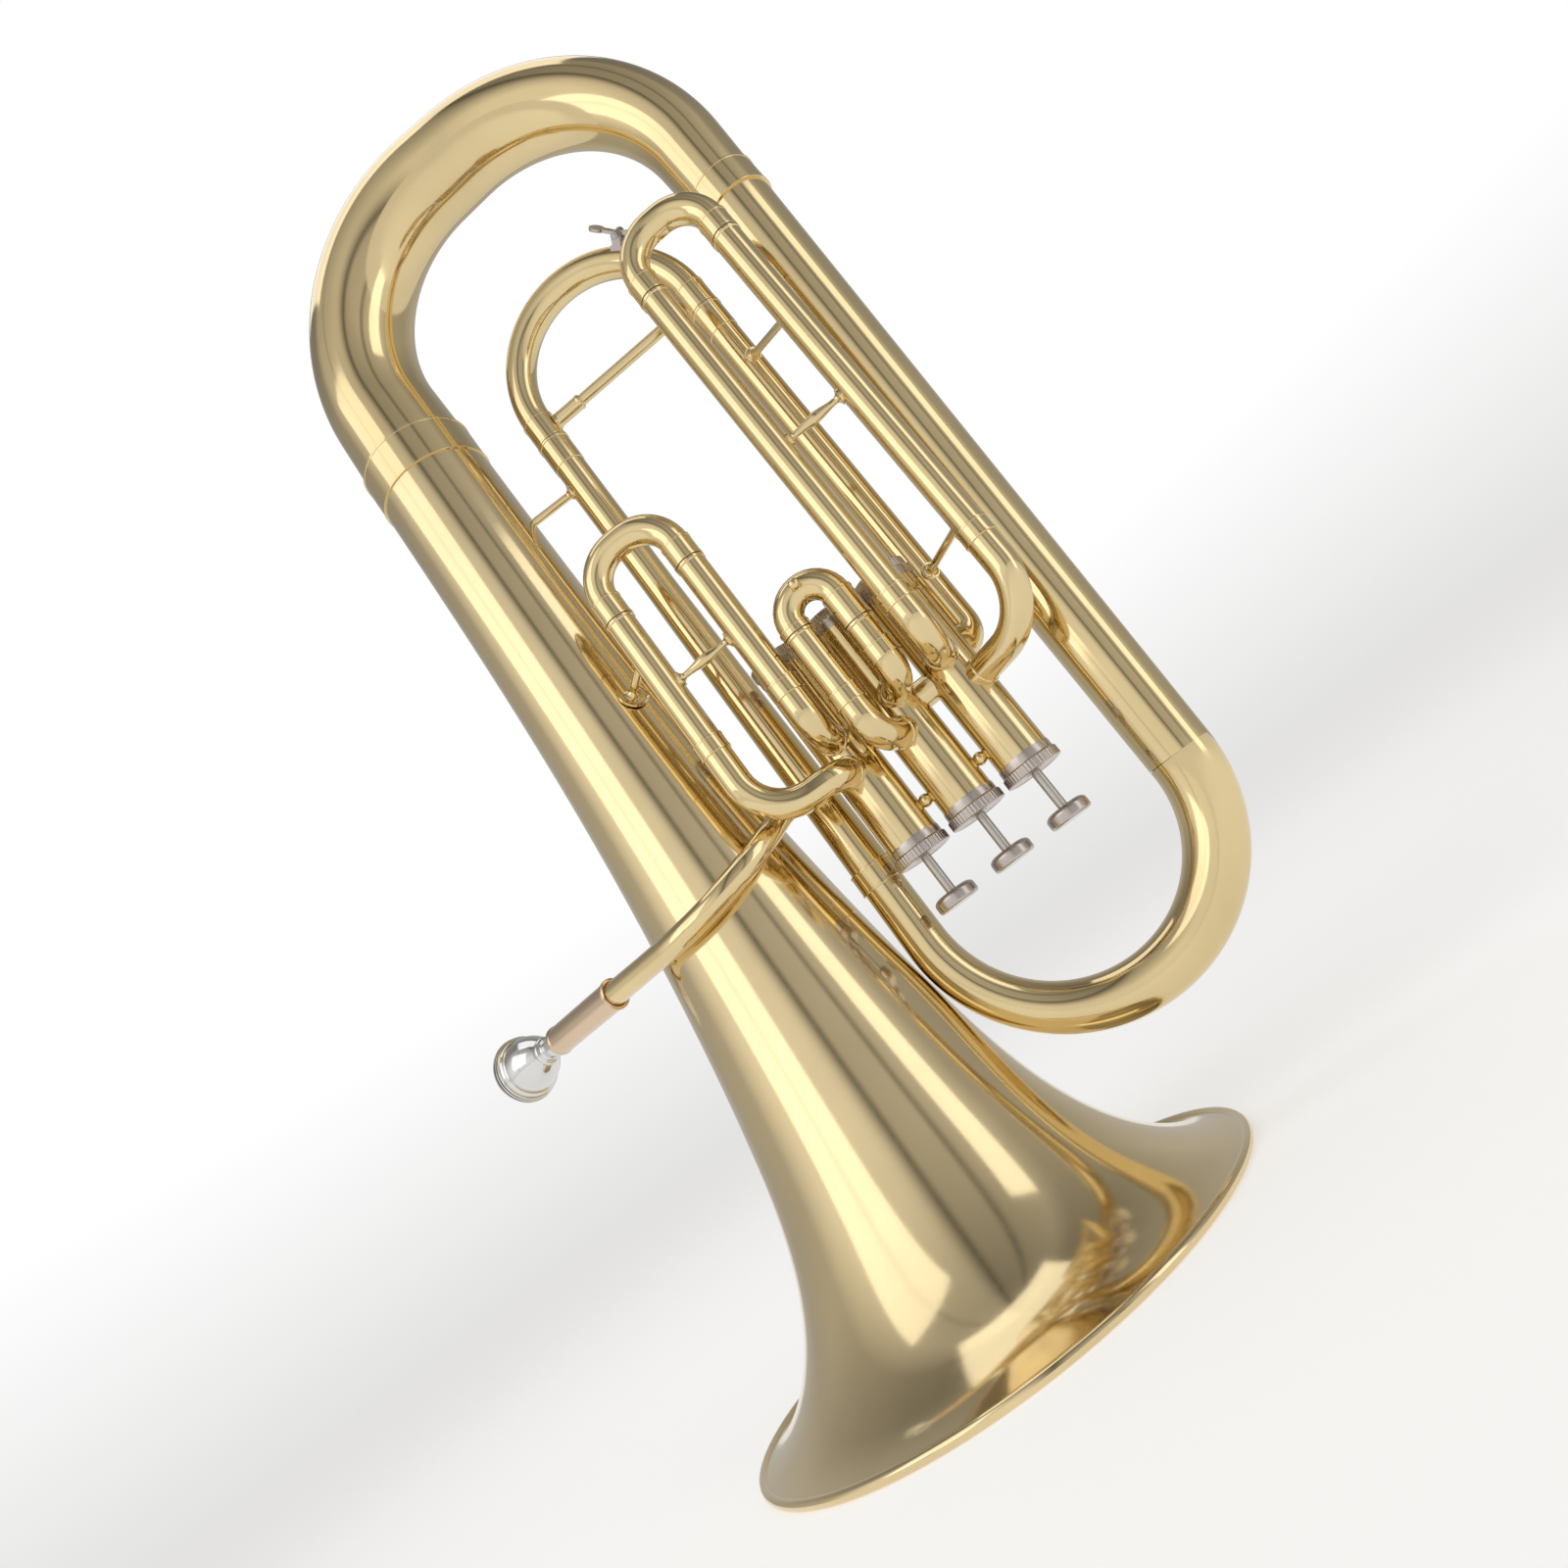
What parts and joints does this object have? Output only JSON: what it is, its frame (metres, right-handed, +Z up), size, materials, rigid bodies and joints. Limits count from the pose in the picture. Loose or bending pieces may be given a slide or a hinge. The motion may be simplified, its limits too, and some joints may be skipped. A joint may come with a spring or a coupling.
{
  "type": "euphonium",
  "caption": "Conical-bore brass instrument standing on its flared bell: a wide coiled tube, piston valves with pull-out slides, a wrap-around leadpipe and a cup mouthpiece.",
  "frame": {"origin": "centre of the bell's mouth, in the plane of its rim, where the instrument stands", "axes": "+Z up along the bell's axis towards the big bottom bow; +X from the bell towards the outer branch; -Y the side the valve slides face"},
  "size_m": [0.4233, 0.28, 0.7128],
  "materials": {
    "lacquered_brass": "polished, clear lacquer",
    "nickel_plate": "polished nickel plate",
    "silver_plate": "polished silver plate",
    "nickel_alloy": "lapped, satin",
    "spring_steel": "drawn wire",
    "cork": "natural cork"
  },
  "bodies": {
    "instrument": {"bell": "lacquered_brass", "bell_rim_wire": "lacquered_brass", "bell_ferrule": "lacquered_brass", "bottom_bow": "lacquered_brass", "branch_ferrule": "lacquered_brass", "outer_branch": "lacquered_brass", "upper_bow": "lacquered_brass", "upper_bow_ferrule": "lacquered_brass", "return_branch": "lacquered_brass", "leadpipe": "lacquered_brass", "mouthpiece_receiver": "lacquered_brass", "valve_casing_1": "lacquered_brass", "valve_casing_2": "lacquered_brass", "valve_casing_3": "lacquered_brass", "valve_top_caps": "nickel_plate", "valve_bottom_caps": "nickel_plate", "valve_link_tubes": "lacquered_brass", "valve_braces": "lacquered_brass", "first_slide_sleeves": "lacquered_brass", "second_slide_sleeves": "lacquered_brass", "third_slide_sleeves": "lacquered_brass", "first_slide_elbows": "lacquered_brass", "second_slide_elbows": "lacquered_brass", "third_slide_elbows": "lacquered_brass", "tuning_slide_sleeves": "lacquered_brass", "valve_exit_elbow": "lacquered_brass", "slide_braces": "lacquered_brass", "bell_to_leadpipe_brace": "lacquered_brass", "bell_to_slide_brace": "lacquered_brass", "bell_to_tuning_brace": "lacquered_brass", "tuning_to_third_braces": "lacquered_brass"},
    "mouthpiece": {"mouthpiece": "silver_plate"},
    "tuning_slide": {"tuning_slide_crook": "lacquered_brass", "tuning_slide_inner_tubes": "nickel_plate", "tuning_slide_ferrules": "lacquered_brass", "tuning_slide_brace": "lacquered_brass", "water_key_nipple": "nickel_plate", "water_key_saddle": "nickel_plate", "water_key_pivot_screw": "nickel_plate", "water_key_spring": "spring_steel"},
    "water_key": {"water_key_lever": "nickel_plate", "water_key_cork": "cork"},
    "first_slide": {"first_slide_crook": "lacquered_brass", "first_slide_inner_tubes": "nickel_plate", "first_slide_ferrules": "lacquered_brass"},
    "second_slide": {"second_slide_crook": "lacquered_brass", "second_slide_inner_tubes": "nickel_plate", "second_slide_ferrules": "lacquered_brass"},
    "third_slide": {"third_slide_crook": "lacquered_brass", "third_slide_inner_tubes": "nickel_plate", "third_slide_ferrules": "lacquered_brass"},
    "valve_1": {"piston_1": "nickel_alloy", "finger_button_1": "nickel_plate", "valve_spring_1": "spring_steel"},
    "valve_2": {"piston_2": "nickel_alloy", "finger_button_2": "nickel_plate", "valve_spring_2": "spring_steel"},
    "valve_3": {"piston_3": "nickel_alloy", "finger_button_3": "nickel_plate", "valve_spring_3": "spring_steel"}
  },
  "joints": [
    {"name": "valve_1_press", "type": "slide", "parent": "instrument", "child": "valve_1", "axis": [0, 0, 1], "range_m": [0, 0.016], "stiffness_N_per_m": 80, "springref_m": -0.015, "deforming": ["valve_spring_1"]},
    {"name": "valve_2_press", "type": "slide", "parent": "instrument", "child": "valve_2", "axis": [0, 0, 1], "range_m": [0, 0.016], "stiffness_N_per_m": 80, "springref_m": -0.015, "deforming": ["valve_spring_2"]},
    {"name": "valve_3_press", "type": "slide", "parent": "instrument", "child": "valve_3", "axis": [0, 0, 1], "range_m": [0, 0.016], "stiffness_N_per_m": 80, "springref_m": -0.015, "deforming": ["valve_spring_3"]},
    {"name": "tuning_slide_pull", "type": "slide", "parent": "instrument", "child": "tuning_slide", "axis": [0, 0, 1], "range_m": [0, 0.06]},
    {"name": "first_slide_pull", "type": "slide", "parent": "instrument", "child": "first_slide", "axis": [0, 0, 1], "range_m": [0, 0.06]},
    {"name": "second_slide_pull", "type": "slide", "parent": "instrument", "child": "second_slide", "axis": [0, 0, 1], "range_m": [0, 0.015]},
    {"name": "third_slide_pull", "type": "slide", "parent": "instrument", "child": "third_slide", "axis": [0, 0, 1], "range_m": [0, 0.12]},
    {"name": "water_key_turn", "type": "hinge", "parent": "tuning_slide", "child": "water_key", "pos_m": [0.17097, -0.00478, 0.56911], "axis": [-0.4731, -0.7071, -0.5255], "range_deg": [0, 18], "stiffness_Nm_per_rad": 0.02, "springref_deg": -20.05},
    {"name": "mouthpiece_pull", "type": "slide", "parent": "instrument", "child": "mouthpiece", "axis": [-0.8665, 0.4958, 0.0571], "range_m": [0, 0.03]}
  ]
}
